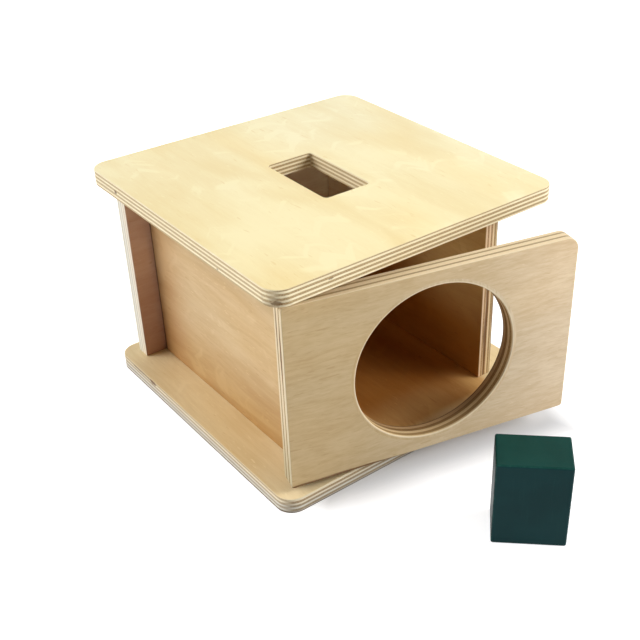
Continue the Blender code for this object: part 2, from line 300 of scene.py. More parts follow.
# Cut edges: plies across the cut show their fibres' ends, and the others their long side
SPECKLES = Grain((2000.0, 2000.0, 2000.0), roughness=0.7)
SPECKLE_FADE = (0.30, 0.72)
END_GRAIN_TONES = ((0.34, 0.22, 0.095), (0.56, 0.41, 0.205))
END_GRAIN_FADE = (0.05, 0.85)
LONG_GRAIN_TONES = ((0.83, 0.69, 0.43), (0.93, 0.83, 0.57))
LONG_GRAIN_FADE = (0.25, 0.75)
CROSS_PLY_TONE = (0.70, 0.55, 0.32)
CROSS_PLY_DEPTH = 0.40
CORE_FADE = (0.36, 0.28)
CORE_LIGHT = (0.95, 0.80, 0.55)
CORE_LIGHT_DEPTH = 0.80
CORE_DARK = (0.36, 0.24, 0.11)
CORE_DARK_DEPTH = 0.90
GLUE_GAPS = Grain((45.0, 45.0, 900.0))
GLUE_GAP_FADE = (0.50, 0.66)
GLUE_DEPTH = (0.25, 0.85)
GLUE_COLOUR = (0.20, 0.12, 0.06)
# Pale colour of cut edges washed out by painted light
LIT_PALE = (0.85, 0.81, 0.72)

# Stretches over which the tints of an edge change, as shares of the board's thickness
UPPER_TINT_STRETCH = (-0.1, 0.3)
LOWER_ARRIS_STRETCH = (-0.32, -0.42)
RIM_TINT_STRETCH = (-0.3, 0.3)

# Rim of the round hole: how far out from the cut it counts, how its plies are shifted, and its pale lip, a
# painted highlight along the front arris
RIM_REACH = (0.002, 0.001)
RIM_PLY_SHIFT = -0.45
LIP_REACH = (0.0009, 0.0004)
LIP_SLOPE = (0.2, 0.5)
LIP_DEPTH = 0.6
LIP_HIGHLIGHT_COLOUR = (0.86, 0.73, 0.50)

# Faces, arrises with their painted highlight, and marks; the blotches' steps are counted in half sizes of a
# mark
FACE_SLOPE = (0.15, 0.75)
ARRIS_SLOPE = (0.02, 0.25)
ARRIS_HIGHLIGHT_COLOUR = (0.92, 0.81, 0.56)
BLOTCHES = Grain((2.3, 2.3, 2.3))
BLOTCH_DEPTH = 1.4
MARK_FADE = (1.75, 1.35)
MARK_COLOUR = (0.13, 0.052, 0.006)

# Lacquer on the plywood
LACQUER_FADE = (0.2, 0.8)
LACQUER_ROUGHNESS = (0.46, 0.38)
END_GRAIN_ROUGHNESS = 0.22
LACQUER_SPECULAR = 0.3
DASH_DEPTH = 0.6
SPECKLE_DEPTH = 1.5
PLYWOOD_RELIEF = (0.35, 0.00004)

# Enamel of the block: a lighter paint on its top and a darker, bluer one on its sides, which are painted
# light and shade, painted shade on one end, and the thin paint at its rubbed edges
LIT_TOP_PAINT = (0.007, 0.046, 0.036)
SHADED_SIDE_PAINT = (0.0045, 0.037, 0.038)
THIN_PAINT = (0.022, 0.085, 0.068)
TOP_PAINT_SLOPE = (0.3, 0.7)
CHIPS = Grain((420.0, 420.0, 420.0), detail=3.0, roughness=0.6)
CHIP_WIDTH = 0.0016
WEAR_REACH = (0.0006, -0.0002)
WEAR_DEPTH = 0.7
BRUSH_STROKES = Grain((1500.0, 1500.0, 60.0))
BRUSH_FADE = (0.55, 0.8)
BRUSH_DEPTH = 0.10
BRUSH_HEIGHT = 0.5
PAINT_CLOUDS = Grain((55.0, 55.0, 55.0))
PAINT_CLOUD_FADE = (0.3, 0.7)
PAINT_CLOUD_TINT = (0.82, 0.82, 0.82)
SHADED_END_REACH = (0.0008, 0.0001)
SHADED_END_TINT = (0.4, 0.4, 0.4)
PAINT_PEEL = Grain((520.0, 520.0, 520.0), detail=1.0)
PAINT_PEEL_FADE = (0.2, 0.8)
PAINT_ROUGHNESS = (0.36, 0.46)
PAINT_SPECULAR = 0.08
PAINT_RELIEF = (0.25, 0.00006)

# Raw beech of the dowels
BEECH_LINES = Grain((2600.0, 2600.0, 90.0), detail=3.0, roughness=0.6)
BEECH_LINE_FADE = (0.25, 0.75)
BEECH_TONES = ((0.50, 0.32, 0.17), (0.70, 0.50, 0.31))
BEECH_FLECKS = Grain((1400.0, 1400.0, 420.0), detail=1.0)
BEECH_FLECK_FADE = (0.62, 0.75)
BEECH_FLECK_DEPTH = 0.5
BEECH_FLECK_COLOUR = (0.40, 0.23, 0.12)
BEECH_ROUGHNESS_FADE = (0.2, 0.8)
BEECH_ROUGHNESS = (0.62, 0.74)
BEECH_RELIEF = (0.4, 0.00005)

# Drawn steel of the door pins
STEEL_LINES = Grain((5200.0, 5200.0, 70.0))
STEEL_LINE_FADE = (0.2, 0.8)
STEEL_STAINS = Grain((380.0, 380.0, 220.0), detail=3.0)
STEEL_STAIN_FADE = (0.35, 0.75)
STEEL_TONES = ((0.62, 0.62, 0.63), (0.42, 0.40, 0.38))
STEEL_ROUGHNESS = (0.22, 0.42)
STEEL_RELIEF = (0.2, 0.00002)

# Make of the curved stretches
CORNER_STEPS = 14
ARRIS_STEPS = 4
HOLE_SIDES = 160
ROUND_PROFILE = 0.5
FACE_NORMAL_WEIGHT = 100

# Camera, fitted to the edges of the box in the photograph, with the picture taken as 640 pixels wide
PICTURE_SIZE = 640
FOCAL_PIXELS = 1029.9
PICTURE_CENTRE = (378.3, 323.5)
CAMERA_PLACE = (-0.24169, -0.34306, 0.29375)
CAMERA_AZIMUTH = -38.75
CAMERA_ELEVATION = 32.31
CAMERA_ROLL = -0.44
CAMERA_CLIP_START = 0.01
SENSOR_WIDTH = 36.0

# White surroundings; the shadow lies from the door back under the box
FLOOR_HALF_SIZE = 3.0
FLOOR_COLOUR = (0.80, 0.80, 0.80)
FLOOR_ROUGHNESS = 0.9
FLOOR_LIFT = 0.60
SHADOW_LIFT = 0.03
SHADOW_FADE = 0.024
SIDE_FADE = 0.016
SIDE_INSET = 0.012
WORLD_FILL = 0.04

# Distant lamps: azimuth from the front towards the right, elevation, strength, softness and colour
SUNS = {"overhead": (120.0, 70.0, 0.52, 50.0, WHITE),
        "left_key": (-126.7, 29.0, 3.14, 48.0, (0.98, 1.0, 1.06)),
        "right_front": (55.7, 31.3, 1.46, 30.0, WHITE)}

# Near lamp
FILL_PLACE = (0.40, -0.56, 0.37)
FILL_TARGET = (0.02, -0.08, 0.05)
FILL_STRENGTH = 3.10
FILL_SIZE = 0.33
FILL_COLOUR = (1.0, 1.02, 1.08)


def rounded_rectangle(width, height, radii, grow=0.0):
    """Outline round the origin, from the lower left corner; grow moves every side out by that much."""
    half_x = width / 2 + grow
    half_y = height / 2 + grow
    points = []
    for corner, (sign_x, sign_y) in enumerate(((-1, -1), (1, -1), (1, 1), (-1, 1))):
        radius = max(radii[corner] + grow, LEAST_CORNER_RADIUS)
        centre = Vector((sign_x * (half_x - radius), sign_y * (half_y - radius)))
        for step in range(CORNER_STEPS + 1):
            angle = math.radians(180 + 90 * corner + 90 * step / CORNER_STEPS)
            points.append(centre + radius * Vector((math.cos(angle), math.sin(angle))))
    return points


def circle(radius, sides, grow=0.0):
    turns = [2 * math.pi * side / sides for side in range(sides)]
    return [(radius + grow) * Vector((math.cos(turn), math.sin(turn))) for turn in turns]


def ply_thickness(thickness, lay_up):
    """Thickness of one core ply."""
    return (thickness - lay_up.lower - lay_up.upper) / lay_up.core


def edge_profile(thickness, lay_up):
    """Inset and height of a board's edge, from face to face: soft arrises, a groove at each glue line."""
    angles = [math.radians(90) * step / ARRIS_STEPS for step in range(ARRIS_STEPS + 1)]
    arris = [(ARRIS_RADIUS * (1 - math.sin(a)), ARRIS_RADIUS * (1 - math.cos(a))) for a in angles]
    half = thickness / 2
    profile = [(inset, depth - half) for inset, depth in arris]
    ply = ply_thickness(thickness, lay_up)
    for line in range(1, lay_up.core):
        height = lay_up.lower + line * ply - half
        profile += [(0.0, height - GLUE_LINE), (GLUE_GROOVE, height), (0.0, height + GLUE_LINE)]
    return profile + [(inset, half - depth) for inset, depth in reversed(arris)]


def add_skin(bm, rings):
    """Faces between rings of equal length; gives back the edges of the first and the last ring."""
    layers = [[bm.verts.new(point) for point in ring] for ring in rings]
    count = len(layers[0])
    for low, high in zip(layers, layers[1:]):
        for side in range(count):
            after = (side + 1) % count
            bm.faces.new((low[side], low[after], high[after], high[side]))
    ends = []
    for layer in (layers[0], layers[-1]):
        ends.append([bm.edges.get((layer[side], layer[(side + 1) % count])) for side in range(count)])
    return ends


def take_mesh(bm, name):
    """Mesh made of what has been built, which is then let go."""
    mesh = bpy.data.meshes.new(name)
    bm.to_mesh(mesh)
    bm.free()
    return mesh


def board_mesh(name, outline, thickness, lay_up, window=None, centre=(0.0, 0.0)):
    """Board lying flat round the origin; outline and window are functions of how far they grow."""
    profile = edge_profile(thickness, lay_up)
    shift = Vector((*centre, 0.0))
    bm = bmesh.new()

    def skin(shape, side):
        rings = [[point.to_3d() + shift + Vector((0, 0, height)) for point in shape(side * inset)]
                 for inset, height in profile]
        return add_skin(bm, rings)

    bottom, top = skin(outline, -1)
    if window:
        inner_bottom, inner_top = skin(window, 1)
        bottom += inner_bottom
        top += inner_top
    for edges in (bottom, top):
        bmesh.ops.triangle_fill(bm, use_beauty=True, use_dissolve=False, edges=edges)
    bmesh.ops.recalc_face_normals(bm, faces=bm.faces)
    mesh = take_mesh(bm, name)
    mesh.shade_smooth()
    return mesh


def add_object(name, data):
    """New object in the scene."""
    thing = bpy.data.objects.new(name, data)
    bpy.context.scene.collection.objects.link(thing)
    return thing


def place_piece(name, mesh, matrix, body, node, material):
    """Puts a finished mesh in place as the piece that stands for a node."""
    piece = add_object(name, mesh)
    piece.matrix_world = matrix
    normals = piece.modifiers.new("face_normals", 'WEIGHTED_NORMAL')
    normals.weight = FACE_NORMAL_WEIGHT
    mesh.materials.append(material)
    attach(piece, body)
    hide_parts(node)


class Nodes:
    """Short ways to add and join the nodes of one tree."""

    MIX_FACTOR = 0
    MIX_NUMBERS = (2, 3)
    MIX_COLOURS = (6, 7)

    def __init__(self, tree):
        self.tree = tree

    def add(self, kind, inputs=None, **settings):
        node = self.tree.nodes.new("ShaderNode" + kind)
        for key, value in settings.items():
            setattr(node, key, value)
        self.feed(node, inputs or {})
        return node

    def feed(self, node, inputs):
        """Gives a node's inputs a value each, or the output of another node."""
        for key, value in inputs.items():
            socket = node.inputs[key]
            if isinstance(value, bpy.types.NodeSocket):
                self.tree.links.new(value, socket)
            elif socket.type == 'RGBA':
                socket.default_value = (*value, 1.0)
            else:
                socket.default_value = value

    def math(self, operation, a, b=0.0, c=0.0):
        return self.add("Math", {0: a, 1: b, 2: c}, operation=operation).outputs[0]

    def squared(self, value):
        return self.math('MULTIPLY', value, value)

    def distance(self, value, centre):
        return self.math('ABSOLUTE', self.math('SUBTRACT', value, centre))

    def split(self, vector):
        return self.add("SeparateXYZ", {0: vector}).outputs

    def vector(self, x, y, z):
        return self.add("CombineXYZ", {0: x, 1: y, 2: z}).outputs[0]

    def vector_math(self, operation, a, b):
        return self.add("VectorMath", {0: a, 1: b}, operation=operation).outputs[0]

    def length(self, vector):
        return self.add("VectorMath", {0: vector}, operation='LENGTH').outputs["Value"]

    def turn(self, vector, angle):
        """Vector turned about Z."""
        inputs = {"Vector": vector, "Angle": angle}
        return self.add("VectorRotate", inputs, rotation_type='Z_AXIS').outputs[0]

    def blend(self, factor, a, b):
        inputs = {self.MIX_FACTOR: factor, **dict(zip(self.MIX_NUMBERS, (a, b)))}
        return self.add("Mix", inputs, data_type='FLOAT').outputs[0]

    def colour(self, factor, a, b, blend_type='MIX'):
        inputs = {self.MIX_FACTOR: factor, **dict(zip(self.MIX_COLOURS, (a, b)))}
        return self.add("Mix", inputs, data_type='RGBA', blend_type=blend_type).outputs[2]

    def noise(self, vector, grain, short=1.0):
        """Noise from 0 to 1; short packs its steps closer along the first axis."""
        steps = (grain.steps[0] * short, *grain.steps[1:])
        inputs = {"Vector": self.vector_math('MULTIPLY', vector, steps), "Scale": 1.0,
                  "Detail": grain.detail, "Roughness": grain.roughness, "Distortion": grain.distortion}
        return self.add("TexNoise", inputs).outputs["Fac"]

    def ease(self, value, low, high, out_low=0.0, out_high=1.0):
        inputs = {"Value": value, "From Min": low, "From Max": high, "To Min": out_low, "To Max": out_high}
        return self.add("MapRange", inputs, interpolation_type='SMOOTHSTEP').outputs[0]

    def drift(self, colour, places, drifts):
        """Colour that takes on each drift's tint along its axis."""
        for axis, start, end, tint in drifts:
            colour = self.colour(self.ease(places[axis], start, end), colour, tint, 'MULTIPLY')
        return colour

    def seen(self):
        """1 for what is looked at, straight on, mirrored or through glass, and 0 for stray light."""
        rays = self.add("LightPath").outputs
        seen = rays["Is Camera Ray"]
        for kind in ("Is Glossy Ray", "Is Transmission Ray"):
            seen = self.math('MAXIMUM', seen, rays[kind])
        return seen


class Material(Nodes):
    """Nodes of one material."""

    def __init__(self, name):
        self.material = bpy.data.materials.new(name)
        self.material.use_nodes = True
        super().__init__(self.material.node_tree)
        self.shader = self.tree.nodes["Principled BSDF"]

    def finish(self, colour, roughness, height, relief):
        """Finished material; relief is the strength and depth of the bumps that height draws."""
        strength, depth = relief
        normal = self.add("Bump", {"Strength": strength, "Distance": depth, "Height": height}).outputs[0]
        self.feed(self.shader, {"Base Color": colour, "Roughness": roughness, "Normal": normal})
        return self.material


class Plywood(Material):
    """Birch plywood as a solid: X is the face fibre, Z the thickness, and each ply crosses the next."""

    def __init__(self, name, thickness, look, room=None, rim=None):
        super().__init__(name)
        self.thickness = thickness
        self.look = look
        self.rim = rim
        where = self.add("TexCoord")
        self.spot = where.outputs["Object"]
        self.x, self.y, self.z = self.split(self.spot)
        self.normal_x, self.normal_y, self.normal_z = self.split(where.outputs["Normal"])
        self.face = self.squared(self.normal_z)
        self.is_upper = self.math('GREATER_THAN', self.normal_z, 0.0)
        self.spread = (self.x, self.y, self.math('MULTIPLY_ADD', self.x, DRIFT_SLOPE, self.y))
        if rim:
            offset = self.vector(self.math('SUBTRACT', self.x, rim.place), self.y, 0.0)
            self.from_middle = self.length(offset)
            self.by_rim = self.ease(self.from_middle, *(rim.radius + reach for reach in RIM_REACH))
        self.lay_plies()
        self.draw_figure()
        self.speckle = self.noise(self.place, SPECKLES)
        veneer = self.face_veneers(room)
        cut = self.cut_edges()
        colour = self.highlighted_arrises(self.colour(self.ease(self.face, *FACE_SLOPE), cut, veneer))
        for mark in look.marks:
            colour = self.marked(colour, mark)
        self.lacquer(colour)

    def lay_plies(self):
        """Which ply each spot lies in, and its place along, across and through the fibres of that ply."""
        lay_up = self.look.lay_up
        self.ply = ply_thickness(self.thickness, lay_up)
        layers = self.math('DIVIDE', self.math('ADD', self.z, self.thickness / 2 - lay_up.lower), self.ply)
        if self.rim:
            layers = self.math('MULTIPLY_ADD', self.by_rim, RIM_PLY_SHIFT, layers)
        layer = self.math('FLOOR', layers)
        self.off_middle = self.distance(self.math('FRACT', layers), 0.5)
        self.lengthwise = self.math('FLOORED_MODULO', layer, 2.0)
        self.fibre = self.blend(self.lengthwise, self.y, self.x)
        self.across = self.blend(self.lengthwise, self.x, self.y)
        facing = [self.squared(normal) for normal in (self.normal_y, self.normal_x)]
        self.end_grain = self.blend(self.lengthwise, *facing)
        self.depth = self.math('MULTIPLY_ADD', layer, PLY_JUMP, self.math('ADD', self.z, self.look.seed))
        self.place = self.vector(self.fibre, self.across, self.depth)

    def draw_figure(self):
        """Lines, streaks, clouds and flames of the veneer, gathered into one tone from 0 to 1."""
        look = self.look

        # Lines of the veneer wander a little, so the finer detail follows a bent coordinate
        wander = self.noise(self.place, WANDER)
        bent = self.math('MULTIPLY_ADD', self.math('SUBTRACT', wander, 0.5), WANDER_WIDTH, self.across)
        follow = self.vector(self.fibre, bent, self.depth)
        self.fine_lines = self.noise(follow, FINE_LINES, look.short)
        lines = self.noise(follow, LINES, look.short)
        self.streaks = self.noise(follow, STREAKS, look.short)
        clouds = self.noise(self.place, CLOUDS)
        rings = self.math('SINE', self.math('MULTIPLY', self.noise(follow, RINGS), RING_WAVES))
        rings = self.ease(rings, *RING_FADE)
        self.dashes = self.ease(self.noise(follow, DASHES), *DASH_FADE)
        flecks = self.ease(self.noise(follow, FLECKS), *FLECK_FADE)
        glints = self.ease(self.noise(self.place, GLINTS), *GLINT_FADE)
        flames = self.flames(wander, clouds)

        tone = self.math('MULTIPLY', self.fine_lines, FINE_LINE_WEIGHT * look.lines)
        for pattern, weight in ((lines, LINE_WEIGHT * look.lines),
                                (self.streaks, STREAK_WEIGHT * look.streaks),
                                (clouds, CLOUD_WEIGHT * look.clouds),
                                (rings, RING_WEIGHT * look.lines),
                                (flames, FLAME_WEIGHT * look.flame),
                                (self.dashes, DASH_WEIGHT * look.lines),
                                (flecks, FLECK_WEIGHT),
                                (glints, GLINT_WEIGHT * look.glints)):
            tone = self.math('MULTIPLY_ADD', pattern, weight, tone)
        middle = LINES_MIDDLE * look.lines + STREAKS_MIDDLE * look.streaks + CLOUDS_MIDDLE * look.clouds
        self.tone = self.ease(tone, middle - TONE_SPREAD, middle + TONE_SPREAD)

    def flames(self, wander, clouds):
        """Bright tongues across the fibre, bent to and fro, within some of the clouds."""
        steps = self.math('MULTIPLY', wander, RIPPLE_WANDER)
        steps = self.math('MULTIPLY_ADD', self.across, RIPPLE_STEPS, steps)
        ripple = self.math('MULTIPLY_ADD', self.math('PINGPONG', steps, 1.0), RIPPLE_DEPTH, self.fibre)
        tongues = self.noise(self.vector(ripple, self.across, self.depth), FLAMES)
        return self.math('MULTIPLY', self.ease(tongues, *FLAME_FADE), self.ease(clouds, *FLAME_CLOUD_FADE))

    def veneer(self, tones, drifts):
        """Colour of one veneer, between its dark and its light tone."""
        light, dark = tones
        return self.drift(self.colour(self.tone, dark, light), self.spread, drifts)

    def face_veneers(self, room):
        """Colour of the two faces, with the painted shade of a room where there is one, and a touch of
        peach in places.
        """
        over = self.veneer(self.look.upper, self.look.upper_drifts)
        under = self.veneer(self.look.lower, self.look.lower_drifts)
        if room:
            over = self.colour(self.inside(room), over, self.veneer(room.tones, room.drifts))
        peach = self.ease(self.noise(self.place, PEACH), *PEACH_FADE, 0.0, PEACH_DEPTH)
        return self.colour(peach, self.colour(self.is_upper, under, over), PEACH_TINT, 'MULTIPLY')

    def inside(self, room):
        """1 within the room and 0 beyond it."""
        reach = [self.math('SUBTRACT', self.distance(part, centre), half)
                 for part, centre, half in zip((self.x, self.y), room.centre, room.half)]
        low_end = room.centre[0] - room.half[0]
        softness = self.ease(self.x, low_end + ROOM_SOFT_STRETCH, low_end, *ROOM_SOFTNESS)
        return self.ease(self.math('DIVIDE', self.math('MAXIMUM', *reach), softness), 1.0, -1.0)

    def cut_edges(self):
        """Colour of the cut edges: fibre ends are darker and speckled, and glue lines part the plies."""
        look = self.look
        ends = self.colour(self.ease(self.speckle, *SPECKLE_FADE), *END_GRAIN_TONES)
        sides = self.colour(self.ease(self.fine_lines, *LONG_GRAIN_FADE), *LONG_GRAIN_TONES)
        if look.dark_core:
            core = self.math('MAXIMUM', self.ease(self.off_middle, *CORE_FADE), self.by_rim)
            core = self.math('MULTIPLY', self.lengthwise, core)
            ends = self.colour(self.blend(core, CORE_LIGHT_DEPTH, 0.0), ends, CORE_LIGHT)
            sides = self.colour(self.math('MULTIPLY', core, CORE_DARK_DEPTH), sides, CORE_DARK)
        else:
            ends = self.colour(self.blend(self.lengthwise, CROSS_PLY_DEPTH, 0.0), ends, CROSS_PLY_TONE)
        cut = self.colour(self.ease(self.end_grain, *END_GRAIN_FADE), sides, ends)
        glue = self.ease(self.off_middle, 0.5 - GLUE_LINE / self.ply, 0.5)
        gaps = self.ease(self.noise(self.place, GLUE_GAPS), *GLUE_GAP_FADE, *GLUE_DEPTH)
        cut = self.colour(self.math('MULTIPLY', glue, gaps), cut, GLUE_COLOUR)
        # Painted light: cut edges washed out pale where strong light falls
        if look.pale:
            cut = self.colour(look.pale, cut, LIT_PALE)
        if look.edge_tints:
            arris_tint, lower_tint, upper_tint = look.edge_tints
            tint = self.colour(self.rise(UPPER_TINT_STRETCH), lower_tint, upper_tint)
            # Along the lower arris; on the base this tint is painted contact shade
            tint = self.colour(self.rise(LOWER_ARRIS_STRETCH), tint, arris_tint)
            cut = self.drift(self.colour(1.0, cut, tint, 'MULTIPLY'), self.spread, look.edge_drifts)
        # Painted light and shade on the rim of the hole
        if self.rim:
            tint = self.colour(self.rise(RIM_TINT_STRETCH), self.rim.lower_tint, self.rim.upper_tint)
            cut = self.colour(self.by_rim, cut, tint, 'MULTIPLY')
        return cut

    def rise(self, stretch):
        """0 to 1 over a stretch of the thickness."""
        start, end = stretch
        return self.ease(self.z, start * self.thickness, end * self.thickness)

    def highlighted_arrises(self, colour):
        """Colour with a painted highlight along the upper arrises, and another as a pale lip round the
        hole.
        """
        # Painted highlight along the upper arrises
        arris = self.math('MULTIPLY', self.face, self.is_upper)
        arris = self.math('MULTIPLY', arris, self.math('SUBTRACT', 1.0, self.face))
        colour = self.colour(self.ease(arris, *ARRIS_SLOPE, 0.0, self.look.arris_highlight), colour, ARRIS_HIGHLIGHT_COLOUR)
        if self.rim:
            # Painted highlight along the front arris of the hole
            lip = self.ease(self.from_middle, *(self.rim.radius + reach for reach in LIP_REACH))
            lip = self.math('MULTIPLY', lip, self.ease(self.normal_z, *LIP_SLOPE, 0.0, LIP_DEPTH))
            colour = self.colour(lip, colour, LIP_HIGHLIGHT_COLOUR)
        return colour

    def marked(self, colour, mark):
        """Colour with a dark mark of ragged outline."""
        offset = self.vector_math('SUBTRACT', self.spot, mark.centre)
        offset = self.vector_math('DIVIDE', offset, mark.half)
        reach = self.math('MULTIPLY_ADD', self.noise(offset, BLOTCHES), BLOTCH_DEPTH, self.length(offset))
        return self.colour(self.ease(reach, *MARK_FADE, 0.0, mark.strength), colour, MARK_COLOUR)

    def lacquer(self, colour):
        """Satin lacquer that sinks into the pores and the ends of the fibres."""
        sheen = self.ease(self.streaks, *LACQUER_FADE, *LACQUER_ROUGHNESS)
        roughness = self.math('MULTIPLY_ADD', self.end_grain, END_GRAIN_ROUGHNESS, sheen)
        height = self.math('SUBTRACT', self.fine_lines, self.math('MULTIPLY', self.dashes, DASH_DEPTH))
        ends = self.math('MULTIPLY', self.speckle, self.end_grain)
        height = self.math('MULTIPLY_ADD', ends, SPECKLE_DEPTH, height)
        self.feed(self.shader, {"Specular IOR Level": LACQUER_SPECULAR})
        self.finish(colour, roughness, height, PLYWOOD_RELIEF)


def painted_wood(name, size, turn):
    """Brushed enamel on a small wooden block that stands turned, thinner and rubbed along the edges; its
    top is painted lighter and its sides and one end darker, as light and shade.
    """
    n = Material(name)
    given = n.add("TexCoord").outputs
    where = n.turn(given["Object"], -turn)
    # Painted light and shade: the top lighter and greener than the darker, bluer sides
    paint = n.colour(n.ease(n.split(given["Normal"])[2], *TOP_PAINT_SLOPE), SHADED_SIDE_PAINT, LIT_TOP_PAINT)

    # Of the distances to the three pairs of faces, the middle one is the distance to the nearest edge
    parts = n.split(where)
    to_face = [n.math('SUBTRACT', half, n.math('ABSOLUTE', part)) for half, part in zip(size / 2, parts)]
    low = n.math('MINIMUM', to_face[0], to_face[1])
    high = n.math('MAXIMUM', to_face[0], to_face[1])
    to_edge = n.math('MAXIMUM', low, n.math('MINIMUM', high, to_face[2]))

    chips = n.noise(where, CHIPS)
    rubbed = n.math('MULTIPLY_ADD', n.math('SUBTRACT', chips, 0.5), CHIP_WIDTH, to_edge)
    wear = n.ease(rubbed, *WEAR_REACH)
    strokes = n.noise(where, BRUSH_STROKES)
    # Painted shade on one end face of the block
    start, end = (reach - size.x / 2 for reach in SHADED_END_REACH)
    paint = n.drift(paint, parts, (Drift(AXIS_X, start, end, SHADED_END_TINT),))
    clouded = n.colour(1.0, paint, PAINT_CLOUD_TINT, 'MULTIPLY')
    colour = n.colour(n.ease(n.noise(where, PAINT_CLOUDS), *PAINT_CLOUD_FADE), paint, clouded)
    colour = n.colour(n.math('MULTIPLY', n.ease(strokes, *BRUSH_FADE), BRUSH_DEPTH), colour, THIN_PAINT)
    colour = n.colour(n.math('MULTIPLY', wear, WEAR_DEPTH), colour, THIN_PAINT)
    peel = n.noise(where, PAINT_PEEL)
    height = n.math('MULTIPLY_ADD', strokes, BRUSH_HEIGHT, peel)
    roughness = n.ease(peel, *PAINT_PEEL_FADE, *PAINT_ROUGHNESS)
    n.feed(n.shader, {"Specular IOR Level": PAINT_SPECULAR})
    return n.finish(colour, roughness, height, PAINT_RELIEF)


def turned_wood(name):
    """Raw beech of the hidden dowels, with the fibre along Z."""
    n = Material(name)
    where = n.add("TexCoord").outputs["Object"]
    lines = n.noise(where, BEECH_LINES)
    flecks = n.ease(n.noise(where, BEECH_FLECKS), *BEECH_FLECK_FADE)
    colour = n.colour(n.ease(lines, *BEECH_LINE_FADE), *BEECH_TONES)
    colour = n.colour(n.math('MULTIPLY', flecks, BEECH_FLECK_DEPTH), colour, BEECH_FLECK_COLOUR)
    roughness = n.ease(lines, *BEECH_ROUGHNESS_FADE, *BEECH_ROUGHNESS)
    return n.finish(colour, roughness, lines, BEECH_RELIEF)


def drawn_steel(name):
    """Bright drawn wire of the door pins, with fine lines along Z."""
    n = Material(name)
    where = n.add("TexCoord").outputs["Object"]
    lines = n.noise(where, STEEL_LINES)
    stains = n.noise(where, STEEL_STAINS)
    colour = n.colour(n.ease(stains, *STEEL_STAIN_FADE), *STEEL_TONES)
    roughness = n.ease(lines, *STEEL_LINE_FADE, *STEEL_ROUGHNESS)
    n.feed(n.shader, {"Metallic": 1.0})
    return n.finish(colour, roughness, lines, STEEL_RELIEF)


def turned(place, x_axis, y_axis):
    """Matrix that sets a flat board at a place, with its own X and Y along the given directions."""
    x_axis = Vector(x_axis)
    y_axis = Vector(y_axis)
    columns = Matrix((x_axis, y_axis, x_axis.cross(y_axis))).transposed()
    return Matrix.Translation(place) @ columns.to_4x4()


def make_panels():
    _, wall_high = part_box("left_wall")
    room_half = (wall_high.y + ROOM_FRONT + ROOM_UNDER_WALL) / 2
    room_side = ROOM_UNDER_WALL - wall_high.x
    # Painted shade on the base inside the box
    base_room = Room((room_half - ROOM_FRONT, 0.0), (room_half, room_side), SHADED_NUTTY, BASE_ROOM_LIGHT_AND_SHADE)

    def slot(grow):
        return rounded_rectangle(SLOT_LENGTH, SLOT_WIDTH, [SLOT_CORNER_RADIUS] * 4, grow)

    for node, window, room in (("top_panel", slot, None), ("base_panel", None, base_room)):
        look = LOOKS[node]
        low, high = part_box(node)
        width, depth, thickness = high - low

        def outline(grow):
            return rounded_rectangle(depth, width, [PANEL_CORNER_RADIUS] * 4, grow)

        mesh = board_mesh(node + "_ply", outline, thickness, look.lay_up, window)
        birch = Plywood(node + "_birch", thickness, look, room).material
        matrix = turned((low + high) / 2, (0, 1, 0), (-1, 0, 0))
        place_piece(node + "_ply", mesh, matrix, "box", node, birch)


def make_walls():
    along = ((0, 1, 0), (0, 0, 1))
    across = ((1, 0, 0), (0, 0, 1))
    wall_low, wall_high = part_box("left_wall")
    room_half = (ROOM_UNDER_WALL - wall_high.x, wall_high.z - wall_low.z)
    # Painted shade on the back wall's inner face inside the box
    back_room = Room((0.0, 0.0), room_half, SHADED_AMBER, BACK_ROOM_LIGHT_DRIFTS)
    for node, axes, room in (("left_wall", along, None), ("right_wall", along, None),
                             ("back_wall", across, back_room)):
        look = LOOKS[node]
        low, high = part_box(node)
        size = high - low
        length, thickness = sorted((size.x, size.y), reverse=True)

        def outline(grow):
            return rounded_rectangle(length, size.z + 2 * WALL_JOINT_GAP, [WALL_CORNER_RADIUS] * 4, grow)

        mesh = board_mesh(node + "_ply", outline, thickness, look.lay_up)
        birch = Plywood(node + "_birch", thickness, look, room).material
        matrix = turned((low + high) / 2, *axes)
        place_piece(node + "_ply", mesh, matrix, "box", node, birch)


def door_pivot():
    """Place of the door's hinge."""
    return next(joint["pos_m"] for joint in frame["joints"] if joint["name"] == "door_hinge")


def make_door():
    low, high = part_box("door")
    height = high.z - low.z
    radii = [DOOR_CORNER_RADIUS, DOOR_CORNER_RADIUS, DOOR_FREE_CORNER_RADIUS, DOOR_CORNER_RADIUS]

    def outline(grow):
        return rounded_rectangle(DOOR_LENGTH, height, radii, grow)

    def hole(grow):
        return circle(DOOR_HOLE_RADIUS, HOLE_SIDES, grow)

    look = LOOKS["door"]
    centre = (DOOR_LENGTH / 2 - PIVOT_TO_DOOR_END, 0.0)
    mesh = board_mesh("door_ply", outline, DOOR_THICKNESS, look.lay_up, hole, centre)
    rim = Rim(centre[0], DOOR_HOLE_RADIUS, *DOOR_RIM_LIGHT_AND_SHADE)
    birch = Plywood("door_birch", DOOR_THICKNESS, look, rim=rim).material
    angle = math.radians(DOOR_OPEN_ANGLE)
    pivot_x, pivot_y, _ = door_pivot()
    pivot = (pivot_x, pivot_y, (low.z + high.z) / 2)
    matrix = turned(pivot, (math.cos(angle), -math.sin(angle), 0), (0, 0, 1))
    place_piece("door_ply", mesh, matrix, "door", "door", birch)


